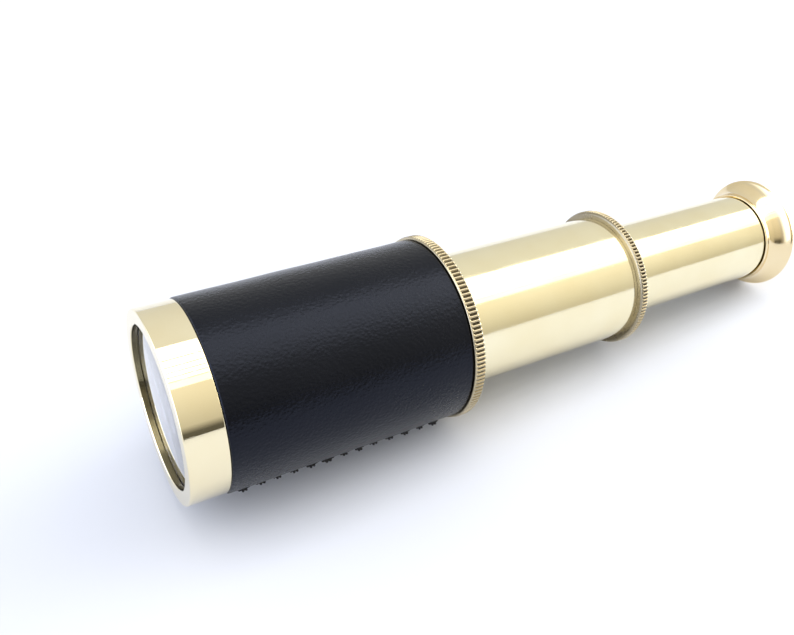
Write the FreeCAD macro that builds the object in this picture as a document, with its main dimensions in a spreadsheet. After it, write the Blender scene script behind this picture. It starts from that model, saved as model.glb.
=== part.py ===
"""Two-draw brass hand telescope with a leather grip.

It lies along +X, objective at the -X end and eyepiece at the +X end, with both draws pulled out.
+Z is up, and the origin is at the middle of its length, on the table under the axis.
Every station is measured along the axis, in millimetres, from the objective's front plane.
Each sub-part is a document object whose local X axis is the telescope's axis.
"""

import FreeCAD, Part
import math
import os
import re

import Sketcher

# Each driving dimension: the cell's alias, its value in millimetres, degrees or pieces, and its meaning.
SIZES = [
    ("total_length", 152.6, "front plane to eyepiece rim, both draws out"),
    ("running_gap", 0.05, "radial clearance of a fit that turns or slides"),
    ("stop_gap", 0.1, "axial clearance at a stop"),
    ("edge_round", 0.3, "rounding of an exposed brass edge"),
    ("lens_gap", 0.05, "radial clearance of a lens in its seat"),
    ("cap_radius", 18.5, "objective cap"),
    ("cap_length", 7.4, "visible side of the cap"),
    ("lip_thick", 1.3, "front lip of the cap"),
    ("aperture_radius", 15.5, "opening in the lip"),
    ("lip_bevel", 0.2, "bevel round the opening"),
    ("objective_radius", 17.0, "objective lens"),
    ("objective_seat", 1.55, "front edge of the objective lens"),
    ("objective_edge", 1.3, "edge thickness of the objective lens"),
    ("objective_front_bulge", 0.95, "height of the front surface"),
    ("objective_rear_bulge", 2.2, "height of the rear surface"),
    ("objective_ring_stand", 0.3, "from the lens's edge back to the ring that meets its curved surface"),
    ("objective_ring_thick", 1.2, "retaining ring behind the objective lens"),
    ("objective_ring_bore", 15.9, "bore of that ring"),
    ("barrel_radius", 17.4, "brass tube under the leather"),
    ("barrel_wall", 0.7, "wall of the brass tube"),
    ("leather_radius", 18.75, "outside of the leather"),
    ("leather_end", 56.1, "station where the leather meets the barrel ring"),
    ("leather_round", 0.35, "rounding of the leather's ends"),
    ("seam_angle", 42.0, "seam, from the lowest line towards -Y"),
    ("seam_slit", 0.3, "gap between the two edges of the leather"),
    ("stitch_pitch", 3.4, "spacing of the stitches"),
    ("stitch_margin", 3.0, "leather end to first stitch"),
    ("stitch_length", 2.4, "length of a stitch across the seam"),
    ("stitch_radius", 0.35, "radius of the thread"),
    ("stitch_slant", 35.0, "slant of a stitch to the seam's normal"),
    ("stitch_bed", 0.02, "how far a stitch stands clear of the leather"),
    ("barrel_ring_rear", 58.5, "rear face of the barrel ring"),
    ("barrel_ring_radius", 19.3, "crests of the barrel ring's knurl"),
    ("barrel_ring_teeth", 132, "teeth of the barrel ring's knurl"),
    ("barrel_socket_front", 52.0, "front end of the barrel ring's socket"),
    ("knurl_depth", 0.28, "depth of the knurl"),
    ("knurl_step", 0.04, "from a ring's smooth edges up to the bottom of its knurl"),
    ("knurl_bed", 1.3, "from the knurl's crests down to where its band is one with the ring"),
    ("ring_front_round", 0.35, "rounding of a knurled ring's front edge"),
    ("ring_rear_round", 0.35, "rounding of a knurled ring's rear edge"),
    ("bead_front_round", 0.6, "rounding of the middle ring's front edge"),
    ("socket_lip", 0.7, "thickness of a socket's two end lips"),
    ("sleeve_wall", 1.1, "wall of a friction sleeve"),
    ("sleeve_slit", 1.4, "slit of a friction sleeve"),
    ("middle_radius", 13.95, "first draw tube"),
    ("middle_wall", 0.6, "wall of the first draw tube"),
    ("middle_front", 50.8, "front end of the first draw tube"),
    ("middle_collar_front", 50.2, "front face of the first draw's stop collar"),
    ("middle_stop_bore", 12.2, "light stop in the first draw's collar"),
    ("middle_ring_front", 101.5, "front face of the middle ring"),
    ("middle_ring_rear", 103.4, "rear face of the middle ring"),
    ("middle_ring_radius", 15.4, "crests of the middle ring's knurl"),
    ("middle_ring_teeth", 120, "teeth of the middle ring's knurl"),
    ("middle_socket_front", 95.7, "front end of the middle ring's socket"),
    ("eye_radius", 10.35, "second draw tube"),
    ("eye_wall", 0.5, "wall of the second draw tube"),
    ("eye_front", 94.0, "front end of the second draw tube"),
    ("bell_front", 145.6, "front lip of the eyepiece bell"),
    ("bell_lip_radius", 10.75, "outside of the bell's lip"),
    ("bell_neck_end", 146.1, "where the bell starts to flare"),
    ("bell_rim_station", 151.3, "where the flare reaches the rim"),
    ("bell_rim_radius", 13.1, "rim of the bell"),
    ("bell_flare", 7.0, "radius of the flare's curve"),
    ("bell_rim_round", 0.7, "rounding of the rim"),
    ("bell_shoulder", 148.4, "shoulder inside the bell, against the draw tube"),
    ("bell_web_rear", 149.4, "rear of the web with the eye hole"),
    ("eye_hole_radius", 4.5, "eye hole"),
    ("cup_radius", 12.0, "mouth of the eye cup"),
    ("cup_curve", 16.0, "radius of the eye cup's curve"),
    ("erector_flange_radius", 10.2, "flange at the erector tube's front end"),
    ("erector_flange_thick", 0.8, "thickness of that flange"),
    ("erector_thread_length", 4.0, "length screwed into the draw tube"),
    ("erector_radius", 9.2, "erector tube"),
    ("erector_rear", 122.0, "rear end of the erector tube"),
    ("erector_bore", 8.4, "bore that takes the lenses"),
    ("erector_shoulder_front", 106.2, "front lens's shoulder"),
    ("erector_shoulder_rear", 117.8, "rear lens's shoulder"),
    ("erector_shoulder_bore", 7.6, "bore between the shoulders"),
    ("erector_lens_edge", 1.2, "edge thickness of an erector lens"),
    ("erector_lens_bulge", 2.3, "height of its curved surface"),
    ("small_ring_stand", 0.6, "from a small lens's edge to the ring that meets its curved surface"),
    ("small_ring_thick", 1.0, "retaining ring of a small lens"),
    ("small_ring_wall", 1.1, "radial width of that ring"),
    ("erector_stop_station", 111.8, "front of the aperture stop"),
    ("erector_stop_thick", 0.4, "thickness of the aperture stop"),
    ("erector_stop_bore", 2.4, "hole of the aperture stop"),
    ("eyepiece_front", 130.2, "front end of the eyepiece tube"),
    ("eyepiece_bore", 9.0, "bore that takes the eyepiece's lenses"),
    ("eyepiece_shoulder_front", 133.6, "field lens's shoulder"),
    ("eyepiece_shoulder_rear", 145.2, "eye lens's shoulder"),
    ("eyepiece_shoulder_bore", 8.2, "bore between the shoulders"),
    ("eyepiece_lens_edge", 1.2, "edge thickness of an eyepiece lens"),
    ("eyepiece_lens_bulge", 2.0, "height of its curved surface"),
]

doc = FreeCAD.newDocument("telescope")
sheet = doc.addObject("Spreadsheet::Sheet", "Sizes")
SUB_PARTS = []


def fill_sheet():
    """One row for each driving dimension: its name, its value under an alias, and its meaning."""
    for row, (alias, value, meaning) in enumerate(SIZES, start=1):
        sheet.set(f"A{row}", alias)
        sheet.set(f"B{row}", str(value))
        sheet.setAlias(f"B{row}", alias)
        sheet.set(f"C{row}", meaning)
    doc.recompute()


def bound(words):
    """A sum or product of the sheet's words, as an expression on its cells."""
    return re.sub(r"[a-z]\w*", lambda word: "Sizes." + word.group(0), words)


def size(words):
    """The number that a sum or product of the sheet's words has now."""
    return float(sheet.evalExpression(bound(words)))


def station(words):
    """Distance along row X of a station measured from the objective's front plane."""
    return f"{words} - total_length / 2"


def place(part, where, turn=0.0):
    """Puts a sub-part's own origin at a station on the axis, turned about the axis by some degrees."""
    part.Placement = FreeCAD.Placement(
        FreeCAD.Vector(0, 0, 0), FreeCAD.Rotation(FreeCAD.Vector(1, 0, 0), turn)
    )
    part.setExpression("Placement.Base.x", bound(station(where)))
    part.setExpression("Placement.Base.z", bound("barrel_ring_radius"))
    SUB_PARTS.append(part)
    return part


def new_body(name):
    body = doc.addObject("PartDesign::Body", name)
    body.Label = name
    return body


def new_sketch(body, name, role):
    """A sketch on one of the body's own origin planes."""
    sketch = body.newObject("Sketcher::SketchObject", name)
    plane = next(p for p in body.Origin.OriginFeatures if p.Role == role)
    sketch.AttachmentSupport = [(plane, "")]
    sketch.MapMode = "FlatFace"
    return sketch


def arc_between(start, end, centre):
    """The shorter arc round centre between two points, and whether it runs from start to end."""
    angles = [math.atan2(p.y - centre.y, p.x - centre.x) for p in (start, end)]
    sweep = (angles[1] - angles[0]) % (2 * math.pi)
    forward = sweep < math.pi
    first, last = angles if forward else reversed(angles)
    circle = Part.Circle(centre, FreeCAD.Vector(0, 0, 1), (start - centre).Length)
    return Part.ArcOfCircle(circle, first, last), forward


def centre_on_axis(start, end):
    """Centre, on the axis, of the circle through two points."""
    x = (end.x**2 + end.y**2 - start.x**2 - start.y**2) / (2 * (end.x - start.x))
    return FreeCAD.Vector(x, 0, 0)


def centre_beside(start, end, radius):
    """Centre of the circle of that radius through two points, to the left of the way for a positive radius."""
    middle = (start + end) / 2
    half = (end - start) / 2
    away = math.sqrt(radius**2 - half.Length**2)
    left = FreeCAD.Vector(-half.y, half.x, 0).normalize()
    return middle + left * math.copysign(away, radius)


def draw_outline(sketch, outline):
    """Closes an outline of (axial, radial) words and binds every corner to the sheet.

    A third item bends the side that follows the corner: "on axis" centres it on the telescope's axis, and
    (side, words) gives it that radius with its centre to the left (1) or right (-1) of the way.
    """
    corners = [FreeCAD.Vector(size(c[0]), size(c[1]), 0) for c in outline]
    starts = []
    ends = []
    for i, corner in enumerate(outline):
        start = corners[i]
        end = corners[(i + 1) % len(corners)]
        bend = corner[2] if len(corner) > 2 else None
        if bend is None:
            line = sketch.addGeometry(Part.LineSegment(start, end))
            starts.append((line, 1))
            ends.append((line, 2))
            continue
        if bend == "on axis":
            centre = centre_on_axis(start, end)
        else:
            centre = centre_beside(start, end, bend[0] * size(bend[1]))
        geometry, forward = arc_between(start, end, centre)
        arc = sketch.addGeometry(geometry)
        starts.append((arc, 1 if forward else 2))
        ends.append((arc, 2 if forward else 1))
        if bend == "on axis":
            sketch.addConstraint(Sketcher.Constraint("PointOnObject", arc, 3, -1))
        else:
            radius = sketch.addConstraint(Sketcher.Constraint("Radius", arc, size(bend[1])))
            sketch.setExpression(f"Constraints[{radius}]", bound(bend[1]))
    for i, corner in enumerate(outline):
        sketch.addConstraint(Sketcher.Constraint("Coincident", *ends[i - 1], *starts[i]))
        for kind, words, value in zip(("DistanceX", "DistanceY"), corner, corners[i]):
            held = sketch.addConstraint(Sketcher.Constraint(kind, -1, 1, *starts[i], value))
            sketch.setExpression(f"Constraints[{held}]", bound(words))


def revolve(body, outline):
    """Turns an outline about the telescope's axis."""
    sketch = new_sketch(body, body.Label + "_profile", "XZ_Plane")
    draw_outline(sketch, outline)
    turn = body.newObject("PartDesign::Revolution", body.Label + "_turning")
    turn.Profile = sketch
    turn.ReferenceAxis = (sketch, ["H_Axis"])
    turn.Angle = 360
    doc.recompute()
    return turn


def round_edges(body, feature, spots, words):
    """Rounds the circular edges of a feature at the given (axial, radial) words."""
    names = []
    for number, edge in enumerate(feature.Shape.Edges, start=1):
        if not isinstance(edge.Curve, Part.Circle):
            continue
        for axial, radial in spots:
            level = abs(edge.Curve.Center.x - size(axial)) < 1e-4
            if level and abs(edge.Curve.Radius - size(radial)) < 1e-4:
                names.append(f"Edge{number}")
    if len(names) != len(spots):
        raise RuntimeError(f"{body.Label}: {len(names)} edges found to round, and not {len(spots)}")
    fillet = body.newObject("PartDesign::Fillet", f"{body.Label}_round_{words}")
    fillet.Base = (feature, names)
    fillet.setExpression("Radius", bound(words))
    doc.recompute()
    return fillet


def cut_box(body, name, outline, role):
    """Cuts a closed outline of straight sides through the body, both ways from an origin plane."""
    sketch = new_sketch(body, name + "_profile", role)
    draw_outline(sketch, outline)
    cut = body.newObject("PartDesign::Pocket", name)
    cut.Profile = sketch
    cut.Type = 1
    cut.Midplane = True
    doc.recompute()
    return cut


def turned(name, where, outline, rounded=(), words="edge_round"):
    """A sub-part that is only turned, with its origin at a station."""
    body = new_body(name)
    feature = revolve(body, outline)
    if rounded:
        round_edges(body, feature, rounded, words)
    return place(body, where)


def lens(name, where, radius, edge, front_bulge, rear_bulge):
    """A lens with its front edge at a station. Its surfaces are spherical, or flat for a bulge of None."""
    front = ("0", "0") if front_bulge is None else (f"-1 * {front_bulge}", "0", "on axis")
    rear_edge = (edge, radius) if rear_bulge is None else (edge, radius, "on axis")
    rear = (edge, "0") if rear_bulge is None else (f"{edge} + {rear_bulge}", "0")
    return turned(name, where, [front, ("0", radius), rear_edge, rear])


def ring(name, where, length, bore, radius):
    """A plain turned ring with its front face at a station."""
    outline = [("0", bore), ("0", radius), (length, radius), (length, bore)]
    return turned(name, where, outline)


def objective_cap():
    """Cup screwed over the barrel tube's front end, with a bevelled lip in front of the lens."""
    outline = [
        ("0", "aperture_radius + lip_bevel"),
        ("0", "cap_radius"),
        ("cap_length", "cap_radius"),
        ("cap_length", "barrel_radius"),
        ("lip_thick", "barrel_radius"),
        ("lip_thick", "aperture_radius"),
        ("lip_bevel", "aperture_radius"),
    ]
    turned("objective_cap", "0", outline, [("0", "cap_radius")])


def objective_lens():
    lens(
        "objective_lens",
        "objective_seat",
        "objective_radius",
        "objective_edge",
        "objective_front_bulge",
        "objective_rear_bulge",
    )


def objective_retaining_ring():
    ring(
        "objective_retaining_ring",
        "objective_seat + objective_edge + objective_ring_stand",
        "objective_ring_thick",
        "objective_ring_bore",
        "barrel_radius",
    )


def barrel_tube():
    """Brass tube from the retaining ring to the barrel ring's flange."""
    front = "objective_seat + objective_edge + objective_ring_stand + objective_ring_thick"
    length = f"leather_end - ({front})"
    ring("barrel_tube", front, length, "barrel_radius - barrel_wall", "barrel_radius")


def leather_sleeve():
    """Leather wrapped round the barrel tube, its two edges meeting at a slit."""
    body = new_body("leather_sleeve")
    length = "leather_end - cap_length"
    outline = [
        ("0", "barrel_radius"),
        ("0", "leather_radius"),
        (length, "leather_radius"),
        (length, "barrel_radius"),
    ]
    wrap = revolve(body, outline)
    ends = [("0", "leather_radius"), (length, "leather_radius")]
    round_edges(body, wrap, ends, "leather_round")
    slit = [
        ("seam_slit / -2", "0"),
        ("seam_slit / 2", "0"),
        ("seam_slit / 2", "leather_radius * 2"),
        ("seam_slit / -2", "leather_radius * 2"),
    ]
    cut_box(body, "seam_cut", slit, "YZ_Plane")
    place(body, "cap_length", 180.0 - size("seam_angle"))


def seam_stitching():
    """Slanted stitches across the seam: a group of separate short threads with rounded ends."""
    pitch = size("stitch_pitch")
    middle_station = size("cap_length + leather_end") / 2
    count = int(size("leather_end - cap_length - 2 * stitch_margin") / pitch) + 1
    out = size("leather_radius + stitch_bed + stitch_radius")
    radius = size("stitch_radius")
    half = size("stitch_length") / 2
    slant = math.radians(size("stitch_slant"))
    along = FreeCAD.Vector(math.sin(slant), math.cos(slant), 0)
    threads = []
    for i in range(count):
        middle = FreeCAD.Vector(middle_station + (i - (count - 1) / 2) * pitch, 0, out)
        thread = Part.makeCylinder(radius, 2 * half, middle - along * half, along)
        for end in (middle - along * half, middle + along * half):
            thread = thread.fuse(Part.makeSphere(radius, end))
        threads.append(thread.removeSplitter())
    group = doc.addObject("Part::Feature", "seam_stitching")
    group.Label = "seam_stitching"
    group.Shape = Part.makeCompound(threads)
    place(group, "0", 180.0 - size("seam_angle"))


def toothed_band(name, radius, teeth, start, length):
    """Band of straight teeth with flat crests, read from the sheet, and bored inside the ring's smooth edges."""
    count = int(size(teeth))
    valley = size(f"{radius} - knurl_depth")
    crest = size(radius)
    corners = []
    for tooth in range(count):
        for share, reach in ((-0.5, valley), (-0.12, crest), (0.12, crest)):
            angle = (tooth + share) * 2 * math.pi / count
            corners.append(FreeCAD.Vector(0, reach * math.cos(angle), reach * math.sin(angle)))
    outside = Part.makePolygon(corners + corners[:1])
    bore = size(f"{radius} - knurl_bed")
    inside = Part.Wire(Part.makeCircle(bore, FreeCAD.Vector(0, 0, 0), FreeCAD.Vector(1, 0, 0)))
    face = Part.makeFace([outside, inside], "Part::FaceMakerBullseye")
    band = doc.addObject("Part::Feature", name)
    band.Shape = face.extrude(FreeCAD.Vector(size(length), 0, 0))
    band.Placement.Base.x = size(start)
    return band


def knurled_ring(name, prefix, front, bore, socket, front_round):
    """A knurled flange with a socket in front of it that is screwed into a tube's rear end.

    The socket's groove, between two lips, holds a friction sleeve. The origin is at the socket's front end.
    """
    blank = new_body(name + "_blank")
    start = f"{prefix}_socket_front"
    face = f"{front} - {start}"
    rear = f"{prefix}_ring_rear - {start}"
    smooth = f"{prefix}_ring_radius - knurl_depth - knurl_step"
    groove = f"{bore} + sleeve_wall + 2 * running_gap"
    outline = [
        ("0", f"{bore} + sleeve_wall / 2"),
        ("0", socket),
        (face, socket),
        (face, smooth),
        (rear, smooth),
        (rear, f"{bore} + running_gap"),
        (f"{rear} - socket_lip", f"{bore} + running_gap"),
        (f"{rear} - socket_lip", groove),
        ("socket_lip", groove),
        ("socket_lip", f"{bore} + sleeve_wall / 2"),
    ]
    feature = revolve(blank, outline)
    feature = round_edges(blank, feature, [(face, smooth)], front_round)
    round_edges(blank, feature, [(rear, smooth)], "ring_rear_round")
    radius = f"{prefix}_ring_radius"
    band_start = f"{face} + {front_round}"
    band_length = f"{rear} - ring_rear_round - ({band_start})"
    ring_part = doc.addObject("Part::Fuse", name)
    ring_part.Label = name
    ring_part.Base = blank
    ring_part.Tool = toothed_band(name + "_teeth", radius, f"{prefix}_ring_teeth", band_start, band_length)
    doc.recompute()
    place(ring_part, start)


def barrel_rear_ring():
    knurled_ring(
        "barrel_rear_ring",
        "barrel",
        "leather_end",
        "middle_radius",
        "barrel_radius - barrel_wall",
        "ring_front_round",
    )


def middle_rear_ring():
    knurled_ring(
        "middle_rear_ring",
        "middle",
        "middle_ring_front",
        "eye_radius",
        "middle_radius - middle_wall",
        "bead_front_round",
    )


def friction_sleeve(name, start, rear, bore):
    """Split sleeve that lies in a socket's groove and grips a draw tube. Its slit points up."""
    body = new_body(name)
    length = f"{rear} - {start} - 2 * socket_lip - 2 * running_gap"
    inner = f"{bore} + running_gap / 2"
    outer = f"{bore} + sleeve_wall + running_gap"
    revolve(body, [("0", inner), ("0", outer), (length, outer), (length, inner)])
    slit = [
        ("sleeve_slit / -2", "0"),
        ("sleeve_slit / 2", "0"),
        ("sleeve_slit / 2", f"{outer} * 2"),
        ("sleeve_slit / -2", f"{outer} * 2"),
    ]
    cut_box(body, name + "_slit", slit, "YZ_Plane")
    place(body, f"{start} + socket_lip + running_gap")


def middle_draw_tube():
    ring(
        "middle_draw_tube",
        "middle_front",
        "middle_ring_front - middle_front",
        "middle_radius - middle_wall",
        "middle_radius",
    )


def middle_stop_collar():
    """Cap over the first draw tube's front end. It meets the barrel ring's socket, and stops stray light."""
    length = "barrel_socket_front - stop_gap - middle_collar_front"
    outer = "barrel_radius - barrel_wall - 2 * running_gap"
    seat = "middle_front - middle_collar_front"
    outline = [
        ("0", "middle_stop_bore"),
        ("0", outer),
        (length, outer),
        (length, "middle_radius"),
        (seat, "middle_radius"),
        (seat, "middle_stop_bore"),
    ]
    turned("middle_stop_collar", "middle_collar_front", outline, [("0", outer)])


def eye_draw_tube():
    ring(
        "eye_draw_tube",
        "eye_front",
        "bell_shoulder - eye_front",
        "eye_radius - eye_wall",
        "eye_radius",
    )


def eye_stop_collar():
    """Ring soldered round the second draw tube's front end. It meets the middle ring's socket."""
    outer = "middle_radius - middle_wall - 2 * running_gap"
    length = "middle_socket_front - stop_gap - eye_front"
    outline = [("0", "eye_radius"), ("0", outer), (length, outer), (length, "eye_radius")]
    turned("eye_stop_collar", "eye_front", outline, [("0", outer)])


def erector_tube():
    """Tube screwed into the second draw tube's front end, with a shoulder for each of its two lenses."""
    start = "eye_front - erector_flange_thick"
    flange = "erector_flange_thick"
    thread = "erector_flange_thick + erector_thread_length"
    outline = [
        ("0", "erector_bore"),
        ("0", "erector_flange_radius"),
        (flange, "erector_flange_radius"),
        (flange, "eye_radius - eye_wall"),
        (thread, "eye_radius - eye_wall"),
        (thread, "erector_radius"),
        (f"erector_rear - ({start})", "erector_radius"),
        (f"erector_rear - ({start})", "erector_bore"),
        (f"erector_shoulder_rear - ({start})", "erector_bore"),
        (f"erector_shoulder_rear - ({start})", "erector_shoulder_bore"),
        (f"erector_shoulder_front - ({start})", "erector_shoulder_bore"),
        (f"erector_shoulder_front - ({start})", "erector_bore"),
    ]
    turned("erector_tube", start, outline)


def shouldered_lenses(cell, names, bulge):
    """Two plano-convex lenses, flat sides on a cell's two shoulders, and the rings that hold them."""
    front_lens, rear_lens, front_ring, rear_ring = names
    radius = f"{cell}_bore - lens_gap"
    edge = f"{cell}_lens_edge"
    hole = f"{cell}_bore - small_ring_wall"
    front = f"{cell}_shoulder_front - {edge}"
    rear = f"{cell}_shoulder_rear"
    lens(front_lens, front, radius, edge, bulge, None)
    lens(rear_lens, rear, radius, edge, None, bulge)
    front_start = f"{front} - small_ring_stand - small_ring_thick"
    rear_start = f"{rear} + {edge} + small_ring_stand"
    ring(front_ring, front_start, "small_ring_thick", hole, f"{cell}_bore")
    ring(rear_ring, rear_start, "small_ring_thick", hole, f"{cell}_bore")


def erector_stop():
    """Blackened washer pressed between the shoulders of the erector tube."""
    ring(
        "erector_stop",
        "erector_stop_station",
        "erector_stop_thick",
        "erector_stop_bore",
        "erector_shoulder_bore",
    )


def eyepiece_tube():
    """Tube inside the second draw's rear end that spaces the field lens and the eye lens."""
    length = "bell_shoulder - eyepiece_front"
    outer = "eye_radius - eye_wall"
    rear = "eyepiece_shoulder_rear - eyepiece_front"
    front = "eyepiece_shoulder_front - eyepiece_front"
    outline = [
        ("0", "eyepiece_bore"),
        ("0", outer),
        (length, outer),
        (length, "eyepiece_bore"),
        (rear, "eyepiece_bore"),
        (rear, "eyepiece_shoulder_bore"),
        (front, "eyepiece_shoulder_bore"),
        (front, "eyepiece_bore"),
    ]
    turned("eyepiece_tube", "eyepiece_front", outline)


def eyepiece_bell():
    """Trumpet-shaped eyepiece over the second draw's rear end, with an eye hole and a shallow eye cup."""
    start = "bell_front"
    rim = f"total_length - {start}"
    outline = [
        ("0", "eye_radius"),
        ("0", "bell_lip_radius"),
        (f"bell_neck_end - {start}", "bell_lip_radius", (1, "bell_flare")),
        (f"bell_rim_station - {start}", "bell_rim_radius"),
        (rim, "bell_rim_radius"),
        (rim, "cup_radius", (-1, "cup_curve")),
        (f"bell_web_rear - {start}", "eye_hole_radius"),
        (f"bell_shoulder - {start}", "eye_hole_radius"),
        (f"bell_shoulder - {start}", "eye_radius"),
    ]
    turned("eyepiece_bell", start, outline, [(rim, "bell_rim_radius")], "bell_rim_round")


def build():
    objective_cap()
    objective_lens()
    objective_retaining_ring()
    barrel_tube()
    leather_sleeve()
    seam_stitching()
    barrel_rear_ring()
    friction_sleeve(
        "middle_friction_sleeve", "barrel_socket_front", "barrel_ring_rear", "middle_radius"
    )
    middle_draw_tube()
    middle_stop_collar()
    middle_rear_ring()
    friction_sleeve(
        "eye_friction_sleeve", "middle_socket_front", "middle_ring_rear", "eye_radius"
    )
    eye_draw_tube()
    eye_stop_collar()
    erector_tube()
    erector_names = (
        "erector_front_lens",
        "erector_rear_lens",
        "erector_front_ring",
        "erector_rear_ring",
    )
    shouldered_lenses("erector", erector_names, "erector_lens_bulge")
    erector_stop()
    eyepiece_tube()
    eyepiece_names = ("field_lens", "eye_lens", "field_lens_ring", "eye_lens_ring")
    shouldered_lenses("eyepiece", eyepiece_names, "eyepiece_lens_bulge")
    eyepiece_bell()


def check():
    """Stops before anything is written if an object failed or a sub-part's shape is not sound."""
    doc.recompute()
    for item in doc.Objects:
        if "Invalid" in item.State or "Error" in item.State:
            raise RuntimeError(f"{item.Name} failed: {item.State}")
    for part in SUB_PARTS:
        if part.Shape.isNull() or not part.Shape.isValid() or not part.Shape.Solids:
            raise RuntimeError(f"{part.Label} has no sound shape")
        if part.Label != "seam_stitching" and len(part.Shape.Solids) != 1:
            raise RuntimeError(f"{part.Label} is in {len(part.Shape.Solids)} pieces")


def write():
    os.makedirs("parts", exist_ok=True)
    for part in SUB_PARTS:
        part.Shape.exportStep(os.path.join("parts", part.Label + ".step"))
        box = part.Shape.BoundBox
        print(f"{part.Label:26} x {box.XMin:7.2f} to {box.XMax:7.2f}  volume {part.Shape.Volume:8.1f}")


fill_sheet()
build()
check()
write()
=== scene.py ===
"""Looks of a two-draw brass hand telescope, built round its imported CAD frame.

The telescope lies along +X with its objective at the -X end. Lengths are metres in the row frame, and
MM turns millimetres into them. Turned pieces are outlines of (x, r) spun about the telescope's axis.
"""

import math
import random

import bpy
from mathutils import Matrix, Vector

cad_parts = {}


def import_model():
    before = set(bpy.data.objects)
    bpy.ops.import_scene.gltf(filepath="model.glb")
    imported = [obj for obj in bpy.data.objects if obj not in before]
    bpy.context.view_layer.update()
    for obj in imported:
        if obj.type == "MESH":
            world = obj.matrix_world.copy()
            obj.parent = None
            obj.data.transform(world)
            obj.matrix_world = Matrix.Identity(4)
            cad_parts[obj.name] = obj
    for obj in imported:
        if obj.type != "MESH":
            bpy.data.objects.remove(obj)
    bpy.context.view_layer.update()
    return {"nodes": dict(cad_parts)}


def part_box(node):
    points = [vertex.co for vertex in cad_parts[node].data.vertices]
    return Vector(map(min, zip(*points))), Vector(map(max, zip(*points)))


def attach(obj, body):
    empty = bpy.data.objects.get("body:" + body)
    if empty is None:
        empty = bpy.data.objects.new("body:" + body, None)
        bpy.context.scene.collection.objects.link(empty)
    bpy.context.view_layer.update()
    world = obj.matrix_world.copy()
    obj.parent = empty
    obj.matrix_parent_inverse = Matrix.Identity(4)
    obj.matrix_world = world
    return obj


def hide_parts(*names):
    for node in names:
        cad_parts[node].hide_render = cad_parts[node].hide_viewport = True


MM = 0.001
STEPS_ROUND = 288
LENS_STEPS_ROUND = 192
SUPPORT = 0.06 * MM
LONGEST_ROUNDING = 0.45
ON_THE_AXIS = 1e-7

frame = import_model()

cap_low, cap_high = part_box("objective_cap")
leather_low, leather_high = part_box("leather_sleeve")
barrel_ring_low, barrel_ring_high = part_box("barrel_rear_ring")
middle_tube_low, middle_tube_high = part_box("middle_draw_tube")
middle_ring_low, middle_ring_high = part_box("middle_rear_ring")
eye_tube_low, eye_tube_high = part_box("eye_draw_tube")
bell_low, bell_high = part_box("eyepiece_bell")
lens_low, lens_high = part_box("objective_lens")
eye_lens_low, eye_lens_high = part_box("eye_lens")
stitch_low, stitch_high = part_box("seam_stitching")

AXIS_Z = (cap_low.z + cap_high.z) / 2


def radius_of(low, high):
    return (high.z - low.z) / 2


# ---------------------------------------------------------------- meshes


def mesh_piece(name, points, faces, sharp=math.radians(50)):
    """A smooth-shaded mesh object whose edges above an angle stay sharp."""
    mesh = bpy.data.meshes.new(name)
    mesh.from_pydata(points, [], faces)
    mesh.validate()
    mesh.shade_smooth()
    mesh.set_sharp_from_angle(angle=sharp)
    piece = bpy.data.objects.new(name, mesh)
    bpy.context.scene.collection.objects.link(piece)
    return piece


def on_axis(x, r, angle):
    """Point at distance r from the telescope's axis. Angle 0 is up, and it grows towards -Y."""
    return (x, -r * math.sin(angle), AXIS_Z + r * math.cos(angle))


def softened(corners, steps=4):
    """Rounds the corners of a closed outline of (x, r, rounding) and keeps the sides between them flat.

    A rounding of 0 leaves the corner as it is. A point SUPPORT away from each rounding holds the side's own
    normal, and a rounding takes at most LONGEST_ROUNDING of the side.
    """
    out = []
    count = len(corners)
    for i, (x, r, rounding) in enumerate(corners):
        here = Vector((x, r))
        before = Vector(corners[i - 1][:2]) - here
        after = Vector(corners[(i + 1) % count][:2]) - here
        if rounding == 0:
            out.append(tuple(here))
            continue
        half = before.angle(after) / 2
        reach = min(rounding / math.tan(half), LONGEST_ROUNDING * min(before.length, after.length))
        size = reach * math.tan(half)
        middle = (before.normalized() + after.normalized()).normalized()
        centre = here + middle * size / math.sin(half)
        first = here + before.normalized() * reach - centre
        last = here + after.normalized() * reach - centre
        sweep = first.angle_signed(last)
        out.append(tuple(centre + first + before.normalized() * min(SUPPORT, reach)))
        for step in range(steps + 1):
            out.append(tuple(centre + Matrix.Rotation(-sweep * step / steps, 2) @ first))
        out.append(tuple(centre + last + after.normalized() * min(SUPPORT, reach)))
    return out


def curve_points(start, end, bulge, steps):
    """Points of an arc between two (x, r) points, without the ends. Bulge is its height to the left."""
    a = Vector(start)
    chord = Vector(end) - a
    half = chord.length / 2
    radius = (half**2 + bulge**2) / (2 * bulge)
    left = Vector((-chord.y, chord.x)).normalized()
    centre = a + chord / 2 + left * (bulge - radius)
    first = a - centre
    sweep = 2 * math.asin(half / abs(radius))
    turn = -sweep if bulge > 0 else sweep
    return [tuple(centre + Matrix.Rotation(turn * i / steps, 2) @ first) for i in range(1, steps)]


def lathe(name, outline, steps=STEPS_ROUND):
    """Spins a closed outline of (x, r) about the axis."""
    points = []
    rows = []
    for x, r in outline:
        if r < ON_THE_AXIS:
            rows.append([len(points)] * steps)
            points.append(on_axis(x, 0, 0))
            continue
        rows.append(list(range(len(points), len(points) + steps)))
        for i in range(steps):
            points.append(on_axis(x, r, 2 * math.pi * i / steps))
    faces = []
    for row in range(len(rows)):
        a, b = rows[row], rows[(row + 1) % len(rows)]
        for i in range(steps):
            j = (i + 1) % steps
            face = list(dict.fromkeys((a[i], a[j], b[j], b[i])))
            if len(face) > 2:
                faces.append(face)
    return mesh_piece(name, points, faces)


def finish_piece(piece, body, material, slot, *replaced):
    piece.data.materials.append(material)
    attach(piece, body)
    if replaced:
        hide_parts(*replaced)
    return piece


# ---------------------------------------------------------------- materials


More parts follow.
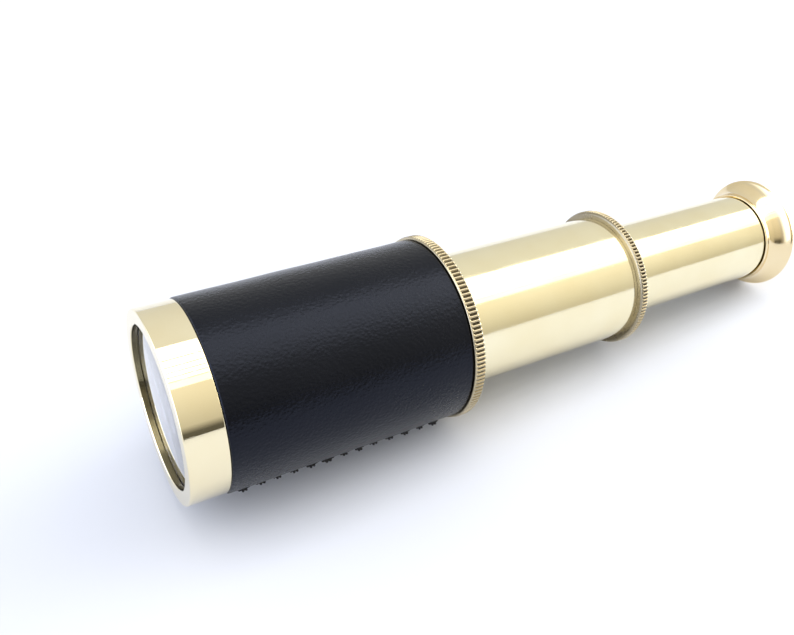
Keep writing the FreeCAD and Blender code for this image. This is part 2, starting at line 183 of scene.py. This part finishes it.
class Nodes:
    """Short words for the nodes that the materials share."""

    def __init__(self, tree):
        self.tree = tree

    def new(self, kind, **values):
        node = self.tree.nodes.new(kind)
        for key, value in values.items():
            if hasattr(node, key):
                setattr(node, key, value)
            else:
                node.inputs[key.replace("_", " ").title()].default_value = value
        return node

    def link(self, source, target):
        self.tree.links.new(source, target)

    def position(self, scale):
        """Place on the object, in metres, times a scale for each axis."""
        place = self.new("ShaderNodeTexCoord")
        mapping = self.new("ShaderNodeMapping")
        mapping.inputs["Scale"].default_value = scale
        self.link(place.outputs["Object"], mapping.inputs["Vector"])
        return mapping.outputs["Vector"]

    def noise(self, scale, detail=3.0, roughness=0.5):
        node = self.new("ShaderNodeTexNoise")
        node.inputs["Scale"].default_value = 1.0
        node.inputs["Detail"].default_value = detail
        node.inputs["Roughness"].default_value = roughness
        self.link(self.position(scale), node.inputs["Vector"])
        return node.outputs["Fac"]

    def remap(self, value, low, high, to_low, to_high):
        node = self.new("ShaderNodeMapRange")
        for key, number in zip(("From Min", "From Max", "To Min", "To Max"), (low, high, to_low, to_high)):
            node.inputs[key].default_value = number
        self.link(value, node.inputs["Value"])
        return node.outputs["Result"]

    def math(self, operation, a, b):
        node = self.new("ShaderNodeMath", operation=operation)
        for socket, value in zip(node.inputs, (a, b)):
            if isinstance(value, (int, float)):
                socket.default_value = value
            else:
                self.link(value, socket)
        return node.outputs[0]

    def blend(self, share, colour_a, colour_b):
        node = self.new("ShaderNodeMix", data_type="RGBA")
        self.link(share, node.inputs["Factor"])
        for socket, colour in ((node.inputs[6], colour_a), (node.inputs[7], colour_b)):
            if isinstance(colour, tuple):
                socket.default_value = (*colour, 1)
            else:
                self.link(colour, socket)
        return node.outputs[2]

    def bump(self, height, distance, strength):
        node = self.new("ShaderNodeBump")
        node.inputs["Strength"].default_value = strength
        node.inputs["Distance"].default_value = distance
        self.link(height, node.inputs["Height"])
        return node.outputs["Normal"]

    def attribute(self, name):
        return self.new("ShaderNodeAttribute", attribute_name=name).outputs["Fac"]


def new_material(name, **fixed):
    """A material with a Principled shader whose uniform values are set on its own sockets."""
    material = bpy.data.materials.new(name)
    material.use_nodes = True
    shader = material.node_tree.nodes["Principled BSDF"]
    for key, value in fixed.items():
        shader.inputs[key.replace("_", " ")].default_value = value
    return material, Nodes(material.node_tree), shader


def brass(name, bright, deep, rough, lines, line_scale, coat=0.25):
    """Polished brass: tone and gloss vary in soft patches over polishing lines and hairline scratches.

    The colours are linear, rough is the gloss's middle value, lines the strength of the polishing lines and
    line_scale their fineness along each axis. The mesh's groove marks paint shade into the colour, dark in
    the knurl grooves and on a ring's smooth bands, and make the surface rougher there.
    """
    material, n, shader = new_material(name, Metallic=1.0, Coat_Weight=coat, Coat_Roughness=0.06)
    patches = n.noise((90, 90, 90), detail=4)
    colour = n.blend(n.remap(patches, 0.35, 0.75, 0.0, 1.0), bright, deep)
    # Painted shade: the groove marks darken the base colour towards a deep brown.
    groove_shade = n.attribute("groove")
    colour = n.blend(n.remap(groove_shade, 0.2, 0.9, 0.0, 0.95), colour, tuple(0.12 * c for c in deep))
    n.link(colour, shader.inputs["Base Color"])
    smudges = n.noise((160, 160, 160), detail=5, roughness=0.6)
    gloss = n.remap(smudges, 0.3, 0.8, rough * 0.75, rough * 1.6)
    n.link(n.math("ADD", gloss, n.math("MULTIPLY", groove_shade, 0.25)), shader.inputs["Roughness"])
    polish = n.noise(line_scale, detail=2)
    scratches = n.noise((900, 5200, 5200), detail=1)
    fine = n.remap(scratches, 0.62, 0.75, 0.0, 1.0)
    height = n.math("SUBTRACT", polish, n.math("MULTIPLY", fine, 0.6))
    n.link(n.bump(height, 0.02 * MM, lines), shader.inputs["Normal"])
    return material


def leather():
    """Black goatskin: small pebbles, wrinkles and pores, duller in the hollows, with a bluish gloss."""
    material, n, shader = new_material("black_leather", Specular_IOR_Level=0.26, Sheen_Weight=0.005)
    shader.inputs["Sheen Tint"].default_value = (0.75, 0.8, 1.0, 1)
    shader.inputs["Specular Tint"].default_value = (0.66, 0.74, 1.0, 1)
    cells = n.new("ShaderNodeTexVoronoi", feature="SMOOTH_F1")
    cells.inputs["Scale"].default_value = 1.0
    cells.inputs["Smoothness"].default_value = 0.55
    warp = n.new("ShaderNodeMix", data_type="VECTOR")
    warp.inputs["Factor"].default_value = 0.28
    place = n.position((2100, 2300, 2300))
    wobble = n.new("ShaderNodeTexNoise")
    wobble.inputs["Scale"].default_value = 0.6
    n.link(place, wobble.inputs["Vector"])
    n.link(place, warp.inputs[4])
    n.link(wobble.outputs["Color"], warp.inputs[5])
    n.link(warp.outputs[1], cells.inputs["Vector"])
    pebbles = n.remap(cells.outputs["Distance"], 0.05, 0.7, 1.0, 0.0)
    wrinkles = n.noise((1100, 950, 950), detail=5, roughness=0.65)
    pores = n.noise((5200, 5200, 5200), detail=2)
    height = n.math("ADD", n.math("MULTIPLY", pebbles, 0.55), n.math("MULTIPLY", wrinkles, 0.8))
    height = n.math("ADD", height, n.math("MULTIPLY", pores, 0.30))
    patches = n.noise((60, 60, 60), detail=3)
    tone = n.math("ADD", n.math("MULTIPLY", pebbles, 0.5), n.math("MULTIPLY", patches, 0.5))
    n.link(n.blend(tone, (0.0003, 0.0003, 0.0006), (0.0016, 0.0016, 0.0026)), shader.inputs["Base Color"])
    rough = n.remap(n.math("ADD", n.math("MULTIPLY", pebbles, -0.25), patches), 0.1, 0.7, 0.19, 0.31)
    n.link(rough, shader.inputs["Roughness"])
    n.link(n.bump(height, 0.10 * MM, 0.62), shader.inputs["Normal"])
    return material


def thread():
    """Waxed black thread: fibres run across the twist."""
    material, n, shader = new_material("black_thread", Roughness=0.7, Specular_IOR_Level=0.25)
    fibres = n.noise((9000, 2500, 2500), detail=2)
    n.link(n.blend(fibres, (0.001, 0.001, 0.0015), (0.007, 0.007, 0.01)), shader.inputs["Base Color"])
    n.link(n.bump(fibres, 0.04 * MM, 0.8), shader.inputs["Normal"])
    return material


def glass():
    """Clear lens glass with a faint coating and a trace of dust."""
    material, n, shader = new_material("optical_glass", Transmission_Weight=1.0, IOR=1.55, Coat_Weight=1.0)
    shader.inputs["Coat IOR"].default_value = 2.6
    shader.inputs["Coat Tint"].default_value = (0.96, 0.96, 1.0, 1)
    shader.inputs["Coat Roughness"].default_value = 0.02
    shader.inputs["Base Color"].default_value = (0.95, 0.955, 0.985, 1)
    dust = n.noise((2600, 2600, 2600), detail=4)
    n.link(n.remap(dust, 0.55, 0.9, 0.0, 0.12), shader.inputs["Roughness"])
    return material


def blackened():
    """Matt black lacquer on the inner brass, worn a little along the turning lines."""
    material, n, shader = new_material("blackened_brass", Roughness=0.62, Metallic=0.3)
    turning = n.noise((5200, 90, 90), detail=2)
    share = n.remap(turning, 0.55, 0.8, 0.0, 0.6)
    n.link(n.blend(share, (0.012, 0.012, 0.012), (0.06, 0.05, 0.035)), shader.inputs["Base Color"])
    n.link(n.bump(turning, 0.02 * MM, 0.5), shader.inputs["Normal"])
    return material


def floor_paper():
    """White table top, very slightly uneven."""
    material, n, shader = new_material("white_table", Roughness=0.7)
    shader.inputs["Specular IOR Level"].default_value = 0.2
    cloud = n.noise((6, 6, 6), detail=2)
    n.link(n.blend(cloud, (0.52, 0.542, 0.61), (0.53, 0.552, 0.62)), shader.inputs["Base Color"])
    return material


# Fineness of the polishing lines along the axis and across it: turned pieces have them round the axis,
# and drawn tubes lengthwise.
AROUND = (4200, 26, 26)
ALONG = (60, 4200, 4200)

MIRROR = brass("mirror_brass", (0.90, 0.81, 0.57), (0.87, 0.76, 0.50), 0.035, 0.06, AROUND, coat=0.1)
DRAWN = brass("drawn_brass", (0.90, 0.82, 0.57), (0.87, 0.77, 0.50), 0.10, 0.12, ALONG, coat=0.1)
RING = brass("ring_brass", (0.55, 0.475, 0.33), (0.41, 0.345, 0.22), 0.14, 0.20, AROUND, coat=0.1)
WARM = brass("warm_brass", (0.88, 0.74, 0.48), (0.80, 0.64, 0.37), 0.11, 0.10, AROUND, coat=0.1)
PLAIN = brass("plain_brass", (0.72, 0.58, 0.33), (0.55, 0.42, 0.22), 0.30, 0.5, AROUND, coat=0.0)
# Darker copy of brass that paints shade on the cap's opening and behind its lip.
RECESS_SHADE = brass("recess_shade_brass", (0.30, 0.26, 0.15), (0.10, 0.08, 0.05), 0.16, 0.2, AROUND, coat=0.0)
LEATHER = leather()
THREAD = thread()
GLASS = glass()
BLACK = blackened()

# ---------------------------------------------------------------- turned pieces

CAP_LIP_WIDTH = 3.0 * MM
CAP_LIP_THICK = 1.3 * MM
CAP_WALL = 1.1 * MM
CAP_BEVEL = 0.2 * MM
CAP_OUTER_ROUND = 0.28 * MM
CAP_REAR_ROUND = 0.22 * MM
FINE_ROUND = 0.06 * MM


def objective_cap():
    """Polished cap: a broad side, and a flat lip with a bevelled opening in front of the lens, whose wall
    gets painted shade.
    """
    front, rear, outer = cap_low.x, cap_high.x, radius_of(cap_low, cap_high)
    opening = outer - CAP_LIP_WIDTH
    inner = outer - CAP_WALL
    lip_back = front + CAP_LIP_THICK
    outline = softened(
        [
            (front, opening + CAP_BEVEL, FINE_ROUND),
            (front, outer, CAP_OUTER_ROUND),
            (rear, outer, CAP_REAR_ROUND),
            (rear, inner, 0.05 * MM),
            (lip_back, inner, 0),
            (lip_back, opening, 0.08 * MM),
            (front + CAP_BEVEL, opening, FINE_ROUND),
        ]
    )
    piece = lathe("cap_shell", outline)
    finish_piece(piece, "barrel", MIRROR, "polished_brass", "objective_cap")
    # The opening's wall and the inside behind the lip get the brass with painted shade.
    piece.data.materials.append(RECESS_SHADE)
    half_lip = front + CAP_LIP_THICK / 2
    for face in piece.data.polygons:
        reach = math.hypot(face.center.y, face.center.z - AXIS_Z)
        in_opening = reach < opening + 0.05 * MM
        behind_lip = reach < inner + 0.02 * MM and face.center.x > half_lip
        if in_opening or behind_lip:
            face.material_index = 1


MIDDLE_WALL = 0.6 * MM
EYE_WALL = 0.5 * MM
TUBE_INNER_ROUND = 0.05 * MM
TUBE_OUTER_ROUND = 0.1 * MM


def tube(name, low, high, wall, body, node):
    outer = radius_of(low, high)
    corners = [
        (low.x, outer - wall, TUBE_INNER_ROUND),
        (low.x, outer, TUBE_OUTER_ROUND),
        (high.x, outer, TUBE_OUTER_ROUND),
        (high.x, outer - wall, TUBE_INNER_ROUND),
    ]
    finish_piece(lathe(name, softened(corners)), body, DRAWN, "polished_brass", node)


BELL_LIP_WALL = 0.4 * MM
BELL_LIP_LENGTH = 0.5 * MM
BELL_GAP = 0.28 * MM
BELL_GAP_LENGTH = 1.0 * MM
BELL_RIM_LENGTH = 1.3 * MM
BELL_RIM_WIDTH = 1.1 * MM
EYE_HOLE_RADIUS = 4.5 * MM
EYE_HOLE_DEPTH = 4.0 * MM
BELL_WEB_THICK = 1.0 * MM
FLARE_HOLLOW = 0.95 * MM
RIM_CROWN = 0.6 * MM
CUP_HOLLOW = 0.9 * MM


def bell():
    """Eyepiece bell: a thin lip, a trumpet flare to a rounded rim, and a hollow eye cup behind."""
    front, rear = bell_low.x, bell_high.x
    rim = radius_of(bell_low, bell_high)
    bore = radius_of(eye_tube_low, eye_tube_high)
    lip = bore + BELL_LIP_WALL
    flare_start = (front + BELL_LIP_LENGTH, lip)
    flare_end = (rear - BELL_RIM_LENGTH, rim)
    cup_mouth = (rear, rim - BELL_RIM_WIDTH)
    eye_hole = (rear - EYE_HOLE_DEPTH, EYE_HOLE_RADIUS)
    shoulder = rear - EYE_HOLE_DEPTH - BELL_WEB_THICK
    relief = front + BELL_GAP_LENGTH
    neck = softened(
        [
            (relief, bore + BELL_GAP, 0),
            (front, bore + BELL_GAP, 0),
            (front, lip, 0.08 * MM),
            (*flare_start, 0),
        ]
    )
    flare = curve_points(flare_start, flare_end, -FLARE_HOLLOW, 24)
    rim_bead = curve_points(flare_end, cup_mouth, RIM_CROWN, 12)
    cup = curve_points(cup_mouth, eye_hole, -CUP_HOLLOW, 22)
    inner = [eye_hole, (shoulder, EYE_HOLE_RADIUS), (shoulder, bore), (relief, bore)]
    outline = neck + flare + [flare_end] + rim_bead + [cup_mouth] + cup + inner
    finish_piece(lathe("bell_shell", outline), "eye_draw", WARM, "bell_brass", "eyepiece_bell")


# One tooth of the knurl: place across its pitch, and how far down towards the groove's bottom.
GROOVE_SHAPE = (
    (0.0, 1.0),
    (0.1, 0.88),
    (0.2, 0.52),
    (0.32, 0.12),
    (0.44, 0.0),
    (0.56, 0.0),
    (0.68, 0.12),
    (0.8, 0.52),
    (0.9, 0.88),
)
RING_SOCKET_LENGTH = 3.0 * MM
RING_RUNNING_GAP = 0.06 * MM
RING_BORE_ROUND = 0.12 * MM
KNURL_BED = 0.12 * MM
KNURL_RUN_OUT = 0.14 * MM
KNURL_COLUMNS = 8


def knurled_ring(name, rows, teeth, depth, off_knurl_shade, body, node):
    """Ring with straight knurling. rows is a closed outline of (x, r, share of the knurl's depth).

    The fifth argument paints shade on the surface that the knurl leaves out.
    """
    steps = teeth * len(GROOVE_SHAPE)
    points = []
    grooves = []
    for x, r, share in rows:
        for i in range(steps):
            tooth, part = divmod(i, len(GROOVE_SHAPE))
            phase, cut = GROOVE_SHAPE[part]
            angle = 2 * math.pi * (tooth + phase + 0.5) / teeth
            points.append(on_axis(x, r - depth * share * cut, angle))
            # Painted shade marks: the cut's depth in the knurl, and the fifth argument's share on the
            # smooth surface.
            grooves.append(max(share * cut, (1 - share) * off_knurl_shade))
    faces = []
    for row in range(len(rows)):
        a, b = row * steps, ((row + 1) % len(rows)) * steps
        for i in range(steps):
            j = (i + 1) % steps
            faces.append((a + i, a + j, b + j, b + i))
    piece = mesh_piece(name, points, faces, sharp=math.radians(60))
    marks = piece.data.attributes.new("groove", "FLOAT", "POINT")
    marks.data.foreach_set("value", grooves)
    finish_piece(piece, body, RING, "polished_brass", node)


def ring_rows(outline, band_start, band_end, crest, lift):
    """Marks which points of an outline are cut by the knurl, and lifts them to its crests.

    The cut fades out at the band's two ends and below the crest.
    """
    rows = []
    for x, r in outline:
        inside = min((x - band_start) / KNURL_RUN_OUT, (band_end - x) / KNURL_RUN_OUT, 1.0)
        high = min(1.0, max(0.0, (r - crest + 0.6 * MM) / (0.25 * MM)))
        share = max(0.0, inside) * high
        rows.append((x, r + lift * share, share))
    return rows


def ring_outline(front, rear, crest, bore, inner, front_round, rear_round, steps):
    """Outline of a ring with a socket in front, with extra points along the side that the knurl cuts."""
    side = crest - KNURL_BED
    corners = [
        (front, inner, 0),
        (front, side, front_round),
        (rear, side, rear_round),
        (rear, bore, RING_BORE_ROUND),
        (front - RING_SOCKET_LENGTH, bore, 0),
        (front - RING_SOCKET_LENGTH, inner, 0),
    ]
    outline = softened(corners, steps=steps)
    points = []
    for point, following in zip(outline, outline[1:] + outline[:1]):
        points.append(point)
        level = abs(point[1] - following[1]) < ON_THE_AXIS
        if level and point[1] > crest - 0.3 * MM:
            length = following[0] - point[0]
            points += [(point[0] + length * i / KNURL_COLUMNS, point[1]) for i in range(1, KNURL_COLUMNS)]
    return points


def barrel_ring():
    front = leather_high.x
    rear = barrel_ring_high.x
    crest = radius_of(barrel_ring_low, barrel_ring_high)
    bore = radius_of(middle_tube_low, middle_tube_high) + RING_RUNNING_GAP
    outline = ring_outline(front, rear, crest, bore, leather_inner(), 0.22 * MM, 0.3 * MM, 5)
    rows = ring_rows(outline, front + 0.3 * MM, rear - 0.12 * MM, crest, 0.12 * MM)
    knurled_ring("barrel_ring_shell", rows, 132, 0.42 * MM, 0.2, "barrel", "barrel_rear_ring")


def middle_ring():
    """Ring with a rounded front edge and its knurl on the rear part of the crest."""
    front = middle_tube_high.x
    rear = middle_ring_high.x
    crest = radius_of(middle_ring_low, middle_ring_high)
    bore = radius_of(eye_tube_low, eye_tube_high) + RING_RUNNING_GAP
    inner = radius_of(middle_tube_low, middle_tube_high) - MIDDLE_WALL
    outline = ring_outline(front, rear, crest, bore, inner, 0.6 * MM, 0.25 * MM, 8)
    rows = ring_rows(outline, front + 0.45 * MM, rear - 0.1 * MM, crest, 0.1 * MM)
    # 0.48 paints shade on the ring's smooth front edge, in place of a dark reflection.
    knurled_ring("middle_ring_shell", rows, 120, 0.40 * MM, 0.48, "middle_draw", "middle_rear_ring")


# How high the lenses' curved faces stand over their edges.
OBJECTIVE_FRONT = 0.95 * MM
OBJECTIVE_REAR = 2.2 * MM
EYE_LENS_REAR = 2.0 * MM


def lens(name, low, high, front_bulge, rear_bulge, body, node):
    """Lens with two spherical faces and a ground edge."""
    rim = radius_of(low, high)
    edge_front = low.x + front_bulge
    edge_rear = high.x - rear_bulge
    front = sphere_cap(low.x, edge_front, rim) if front_bulge else []
    rear = sphere_cap(high.x, edge_rear, rim)[::-1] if rear_bulge else []
    outline = [(low.x, 0.0)] + front + [(edge_front, rim), (edge_rear, rim)] + rear + [(high.x, 0.0)]
    piece = lathe(name, outline, steps=LENS_STEPS_ROUND)
    finish_piece(piece, body, GLASS, "optical_glass", node)


def sphere_cap(vertex_x, edge_x, rim, steps=20):
    """Points of a spherical face between its vertex on the axis and its edge, without the ends."""
    height = edge_x - vertex_x
    radius = (rim**2 + height**2) / (2 * height)
    full = math.asin(rim / abs(radius))
    points = []
    for i in range(1, steps):
        angle = full * i / steps
        points.append((vertex_x + radius * (1 - math.cos(angle)), abs(radius) * math.sin(angle)))
    return points


# ---------------------------------------------------------------- leather and its seam

LEATHER_THICK = 1.35 * MM
LEATHER_ROUND = 0.45 * MM
LEATHER_COLUMNS = 360
LEATHER_ROWS = 150
EDGE_STEPS = 8
SEAM_COLUMNS = 27
SEAM_COLUMN_STEP = 0.0022

# How far the skin sinks: depths, and reaches across the seam and along it.
VALLEY_DEPTH, VALLEY_REACH = 0.34 * MM, 0.9 * MM
SLIT_DEPTH, SLIT_REACH = 0.5 * MM, 0.16 * MM
PULL_DEPTH, PULL_ALONG, PULL_ACROSS = 0.2 * MM, 0.7 * MM, 1.3 * MM
WAVE_DEPTH = 0.018 * MM

STITCHES = 13
STITCH_END = 1.0 * MM
THREAD_RADIUS = 0.25 * MM
PLY_RADIUS = 0.21 * MM
PLY_TWIST = 5.2
THREAD_SINK = 0.45 * MM
THREAD_HALF_STEPS = 14


def leather_inner():
    return radius_of(leather_low, leather_high) - LEATHER_THICK


def seam_angle():
    """Angle of the seam about the axis, from the stitches' own place in the frame."""
    middle = (stitch_low + stitch_high) / 2
    return math.atan2(-middle.y, middle.z - AXIS_Z)


def stitch_places():
    """Stations of the stitches, evenly spaced between the first and the last."""
    first = stitch_low.x + STITCH_END
    last = stitch_high.x - STITCH_END
    return [first + (last - first) * i / (STITCHES - 1) for i in range(STITCHES)]


def bell_curve(distance, reach):
    return math.exp(-((distance / reach) ** 2))


def leather_rows(outer):
    """Outline of the leather's outer side as (x, r), with both edges rounded down."""
    front, rear = leather_low.x, leather_high.x
    turns = [math.pi / 2 * i / EDGE_STEPS for i in range(EDGE_STEPS + 1)]
    length = rear - front - 2 * LEATHER_ROUND
    front_edge = [
        (front + LEATHER_ROUND * (1 - math.sin(turn)), outer - LEATHER_ROUND * (1 - math.cos(turn)))
        for turn in reversed(turns)
    ]
    side = [(front + LEATHER_ROUND + length * i / LEATHER_ROWS, outer) for i in range(1, LEATHER_ROWS)]
    rear_edge = [
        (rear - LEATHER_ROUND * (1 - math.sin(turn)), outer - LEATHER_ROUND * (1 - math.cos(turn)))
        for turn in turns
    ]
    return front_edge + side + rear_edge


def leather_cover():
    """Leather round the barrel: edges turned down, a puckered seam, and a skin that isn't quite even."""
    outer = radius_of(leather_low, leather_high)
    inner = leather_inner() + 0.01 * MM
    seam = seam_angle()
    stations = stitch_places()
    columns = sorted(
        [2 * math.pi * i / LEATHER_COLUMNS + seam for i in range(LEATHER_COLUMNS)]
        + [seam + side * i * SEAM_COLUMN_STEP for i in range(1, SEAM_COLUMNS + 1) for side in (-1, 1)]
    )

    def drop(x, angle):
        """How far the skin sinks at a place: the seam's valley, the stitches' pull, and slow waves."""
        offset = (angle - seam + math.pi) % (2 * math.pi) - math.pi
        across = offset * outer
        valley = VALLEY_DEPTH * bell_curve(across, VALLEY_REACH)
        slit = SLIT_DEPTH * bell_curve(across, SLIT_REACH)
        pull = sum(bell_curve(x - station, PULL_ALONG) for station in stations)
        pull *= PULL_DEPTH * bell_curve(across, PULL_ACROSS)
        waves = math.sin(x * 410 + 2.1 * angle) + math.sin(x * 233 - 3 * angle + 1)
        return valley + slit + pull + WAVE_DEPTH * (waves + 2)

    points = []
    rows = leather_rows(outer)
    for x, r in rows:
        for angle in columns:
            points.append(on_axis(x, max(r - drop(x, angle), inner + 0.02 * MM), angle))
    for x in (leather_high.x, leather_low.x):
        for angle in columns:
            points.append(on_axis(x, inner, angle))
    count = len(columns)
    loops = len(rows) + 2
    faces = []
    for row in range(loops):
        a, b = row * count, ((row + 1) % loops) * count
        for i in range(count):
            j = (i + 1) % count
            faces.append((a + i, a + j, b + j, b + i))
    piece = mesh_piece("leather_cover", points, faces)
    return finish_piece(piece, "barrel", LEATHER, "black_leather", "leather_sleeve")


def strand(path, radius, sides=8):
    """Points and faces of a round strand with closed ends along a path."""
    reference = Vector((0.3, 0.2, 0.9))
    points = []
    for i, here in enumerate(path):
        ahead = path[min(i + 1, len(path) - 1)] - path[max(i - 1, 0)]
        across = ahead.cross(reference).normalized()
        up = across.cross(ahead).normalized()
        taper = math.sqrt(max(0.05, 1 - (2 * i / (len(path) - 1) - 1) ** 10))
        for k in range(sides):
            spoke = 2 * math.pi * k / sides
            points.append(here + (across * math.cos(spoke) + up * math.sin(spoke)) * radius * taper)
    faces = [tuple(range(sides))[::-1], tuple(range(len(points) - sides, len(points)))]
    for i in range(len(path) - 1):
        for k in range(sides):
            m = (k + 1) % sides
            a, b = i * sides, (i + 1) * sides
            faces.append((a + k, a + m, b + m, b + k))
    return points, faces


def seam_threads():
    """Two-ply stitches that arch over the seam and sink into the leather at both ends."""
    rng = random.Random(7)
    outer = radius_of(leather_low, leather_high)
    seam = seam_angle()
    points = []
    faces = []
    for station in stitch_places():
        lean = 1.45 * MM + rng.uniform(-0.25, 0.25) * MM
        width = 1.15 * MM + rng.uniform(-0.12, 0.12) * MM
        lift = 0.58 * MM + rng.uniform(-0.2, 0.12) * MM
        centre = station + rng.uniform(-0.2, 0.2) * MM
        for ply in (0, math.pi):
            path = []
            for i in range(2 * THREAD_HALF_STEPS + 1):
                share = i / THREAD_HALF_STEPS - 1
                across = share * width
                rise = -THREAD_SINK + (lift + THREAD_SINK) * (1 - share**2) ** 0.6
                twist = ply + share * PLY_TWIST
                x = centre + share * lean + PLY_RADIUS * math.cos(twist)
                r = outer - 0.25 * MM + rise + PLY_RADIUS * math.sin(twist)
                path.append(Vector(on_axis(x, r, seam + across / outer)))
            more, sides = strand(path, THREAD_RADIUS)
            faces.extend(tuple(k + len(points) for k in face) for face in sides)
            points.extend(more)
    piece = mesh_piece("seam_threads", points, faces)
    return finish_piece(piece, "barrel", THREAD, "black_thread", "seam_stitching")


# ---------------------------------------------------------------- assembly


def inner_materials():
    """The CAD's own inner pieces keep their shapes and get their finishes."""
    plain = (
        "barrel_tube",
        "middle_stop_collar",
        "eye_stop_collar",
        "middle_friction_sleeve",
        "eye_friction_sleeve",
    )
    black = (
        "objective_retaining_ring",
        "erector_tube",
        "erector_front_ring",
        "erector_rear_ring",
        "erector_stop",
        "eyepiece_tube",
        "field_lens_ring",
        "eye_lens_ring",
    )
    clear = ("erector_front_lens", "erector_rear_lens", "field_lens")
    for names, material in ((plain, PLAIN), (black, BLACK), (clear, GLASS)):
        for name in names:
            mesh = frame["nodes"][name].data
            mesh.materials.clear()
            mesh.materials.append(material)


# The table, and how far in front of their rear ends the barrel ring and the bell touch it.
TABLE_HALF = 10.0
RING_FOOT = 0.9 * MM
BELL_FOOT = 0.8 * MM

# The camera and the point that it looks at, from the middle of the cap's front face.
CAMERA_PLACE = Vector((-22.8, -117.6, 107.5)) * MM
CAMERA_AIM = Vector((52.8, 5.7, 0)) * MM
FOCAL_LENGTH = 38.84
SENSOR_WIDTH = 36


def floor():
    """White table that the telescope leans on with its barrel ring and the rim of its bell."""
    ring_low = Vector((barrel_ring_high.x - RING_FOOT, 0, barrel_ring_low.z))
    bell_foot = Vector((bell_high.x - BELL_FOOT, 0, bell_low.z))
    slope = math.atan2(bell_foot.z - ring_low.z, bell_foot.x - ring_low.x)
    corners = [(x * TABLE_HALF, y * TABLE_HALF, 0) for x, y in ((-1, -1), (1, -1), (1, 1), (-1, 1))]
    mesh = bpy.data.meshes.new("table_top")
    mesh.from_pydata(corners, [], [(0, 1, 2, 3)])
    top = bpy.data.objects.new("table_top", mesh)
    bpy.context.scene.collection.objects.link(top)
    top.matrix_world = Matrix.Translation(ring_low) @ Matrix.Rotation(-slope, 4, "Y")
    mesh.materials.append(floor_paper())
    return slope


def camera(slope):
    """Camera at the photograph's viewing angle, upright over the table."""
    front = Vector((cap_low.x, 0, AXIS_Z))
    eye = front + CAMERA_PLACE
    aim = front + CAMERA_AIM
    forward = (aim - eye).normalized()
    up = Vector((-math.sin(slope), 0, math.cos(slope)))
    right = forward.cross(up).normalized()
    turn = Matrix((right, right.cross(forward), -forward)).transposed()
    data = bpy.data.cameras.new("camera")
    data.sensor_width = SENSOR_WIDTH
    data.lens = FOCAL_LENGTH
    data.clip_start = 0.01
    data.clip_end = 60
    view = bpy.data.objects.new("camera", data)
    bpy.context.scene.collection.objects.link(view)
    view.matrix_world = Matrix.Translation(eye) @ turn.to_4x4()
    bpy.context.scene.camera = view


# Strips of the light bank, from the back to the front: width in metres, and radiance.
STRIPS = ((0.34, 2.3), (0.15, 2.3), (0.11, 2.25), (0.09, 2.2), (0.10, 1.5), (0.20, 0.9))
STRIP_LENGTH = 3.2
STRIP_GAP = 0.026
STRIP_MIDDLE_X = 0.6
STRIP_COLOUR = (1.0, 0.985, 0.95)
BANK_BACK = 0.33
BANK_HEIGHT = 1.2


def overhead_lights():
    """A bank of long diffused strips overhead with narrow gaps. The front ones are weaker."""
    y = BANK_BACK
    for i, (width, radiance) in enumerate(STRIPS):
        data = bpy.data.lights.new(f"strip_{i}", "AREA")
        data.shape = "RECTANGLE"
        data.size, data.size_y = STRIP_LENGTH, width
        data.energy = radiance * math.pi * STRIP_LENGTH * width
        data.color = STRIP_COLOUR
        light = bpy.data.objects.new(f"strip_{i}", data)
        bpy.context.scene.collection.objects.link(light)
        light.location = (STRIP_MIDDLE_X, y - width / 2, BANK_HEIGHT)
        y -= width + STRIP_GAP


ROOM_FRONT = (1.0, 0.945, 0.79)
ROOM_BACK = (1.0, 1.0, 0.96)
ROOM_LEFT = (0.80, 0.88, 1.08)


def world():
    """Pale room, set by direction: warm in front, neutral behind, bluish and bright on the left.

    A strong light shines along the telescope from the right, and a dark patch stands low in front.
    """
    room = bpy.data.worlds.new("room")
    bpy.context.scene.world = room
    room.use_nodes = True
    n = Nodes(room.node_tree)
    background = room.node_tree.nodes["Background"]
    place = n.new("ShaderNodeTexCoord")
    axes = n.new("ShaderNodeSeparateXYZ")
    n.link(place.outputs["Generated"], axes.inputs[0])
    x, y, z = axes.outputs
    behind = n.remap(y, -0.25, 0.25, 0.0, 1.0)
    front_level = n.remap(z, 0.05, 0.8, 0.55, 1.08)
    front_level = n.math("MULTIPLY", front_level, n.remap(x, 0.25, 0.6, 1.0, 1.22))
    level = n.new("ShaderNodeMix")
    n.link(behind, level.inputs["Factor"])
    n.link(front_level, level.inputs[2])
    n.link(n.remap(z, 0.1, 0.9, 0.77, 0.93), level.inputs[3])
    left = n.remap(x, -0.5, -0.95, 0.0, 3.2)
    right = n.remap(x, 0.82, 0.95, 0.0, 16.0)
    total = n.math("ADD", n.math("ADD", level.outputs[0], left), right)
    patch = n.math("MULTIPLY", n.remap(z, 0.24, 0.1, 0.0, 1.0), n.remap(y, -0.88, -0.97, 0.0, 1.0))
    total = n.math("MULTIPLY", total, n.remap(patch, 0.0, 1.0, 1.0, 0.22))
    warm = n.blend(behind, ROOM_FRONT, ROOM_BACK)
    colour = n.blend(n.remap(x, -0.3, -0.8, 0.0, 1.0), warm, ROOM_LEFT)
    tint = n.new("ShaderNodeMix", data_type="RGBA", blend_type="MULTIPLY")
    tint.inputs["Factor"].default_value = 1.0
    n.link(colour, tint.inputs[6])
    n.link(total, tint.inputs[7])
    n.link(tint.outputs[2], background.inputs["Color"])


objective_cap()
lens("objective_glass", lens_low, lens_high, OBJECTIVE_FRONT, OBJECTIVE_REAR, "barrel", "objective_lens")
leather_cover()
seam_threads()
barrel_ring()
tube("middle_tube_shell", middle_tube_low, middle_tube_high, MIDDLE_WALL, "middle_draw", "middle_draw_tube")
middle_ring()
tube("eye_tube_shell", eye_tube_low, eye_tube_high, EYE_WALL, "eye_draw", "eye_draw_tube")
bell()
lens("eye_glass", eye_lens_low, eye_lens_high, 0.0, EYE_LENS_REAR, "eye_draw", "eye_lens")
inner_materials()
camera(floor())
overhead_lights()
world()
bpy.context.scene.view_settings.view_transform = "Standard"
